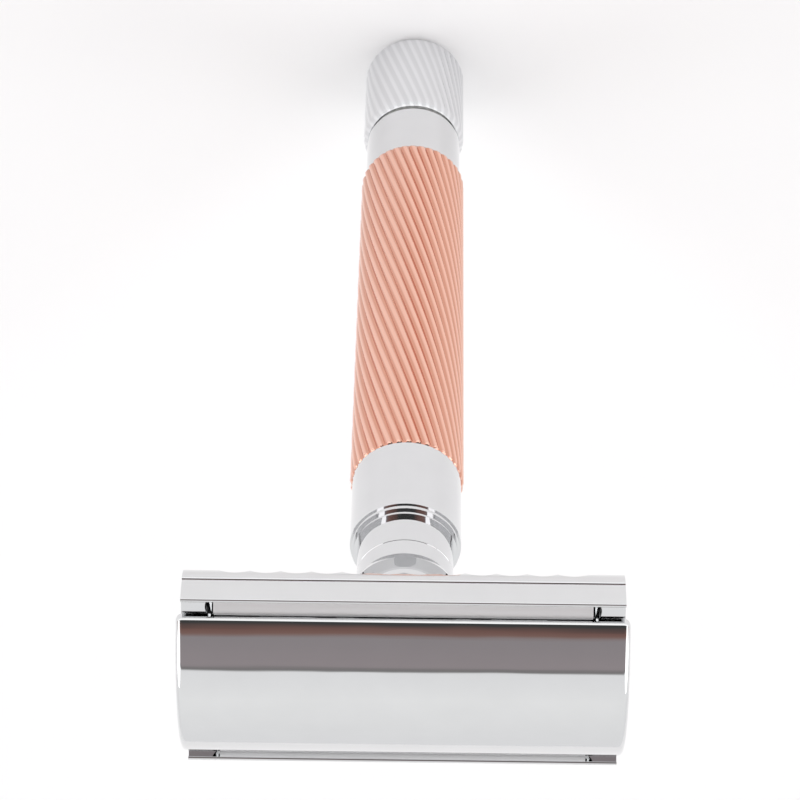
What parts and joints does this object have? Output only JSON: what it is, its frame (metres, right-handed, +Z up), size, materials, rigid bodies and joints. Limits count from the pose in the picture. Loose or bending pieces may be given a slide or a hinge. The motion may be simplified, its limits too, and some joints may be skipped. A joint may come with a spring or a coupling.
{
  "type": "safety razor",
  "caption": "Double-edge safety razor: domed cap and scalloped guard clamp a bent blade, on a slim ribbed metal handle with a twist knob at its foot.",
  "frame": {"origin": "centre of the flat end of the twist knob, on which the razor can stand", "axes": "+Z up the handle to the head, X along the blade's length, Y across the blade"},
  "size_m": [0.044, 0.0226, 0.1126],
  "materials": {
    "handle_chrome": "polished plated",
    "head_chrome": "mirror polished plated",
    "rose_gold": "polished rose gold plating",
    "stainless": "turned",
    "blade_steel": "ground and coated",
    "tube_alloy": "drawn",
    "brass": "turned",
    "nylon": "moulded"
  },
  "bodies": {
    "handle": {"lower_collar": "handle_chrome", "core_tube": "tube_alloy", "grip_sleeve": "rose_gold", "lower_bush": "brass", "upper_bush": "brass", "upper_collar": "handle_chrome", "neck_ring": "handle_chrome", "neck_ferrule": "handle_chrome", "neck_stem": "handle_chrome", "base_plate": "head_chrome"},
    "knob_drive": {"twist_knob": "handle_chrome", "knob_plug": "handle_chrome", "knob_screw": "stainless", "draw_rod": "stainless", "thrust_washer": "nylon", "retaining_ring": "stainless", "rod_nut": "brass"},
    "cap": {"top_cap": "head_chrome", "cap_stud": "stainless", "locating_pin_left": "stainless", "locating_pin_right": "stainless"},
    "blade": {"razor_blade": "blade_steel"}
  },
  "joints": [
    {"name": "knob_turn", "type": "hinge", "parent": "handle", "child": "knob_drive", "pos_m": [0, 0, 0], "axis": [0, 0, -1], "range_deg": [0, 3600.01]},
    {"name": "cap_lift", "type": "slide", "parent": "handle", "child": "cap", "axis": [0, 0, 1], "range_m": [0, 0.008]},
    {"name": "blade_lift", "type": "slide", "parent": "handle", "child": "blade", "axis": [0, 0, 1], "range_m": [0, 0.004]}
  ],
  "couplings": [
    {"joint": "knob_turn", "follows": "cap_lift", "rad_per_m": 7854},
    {"joint": "blade_lift", "follows": "cap_lift", "ratio": 0.5}
  ]
}
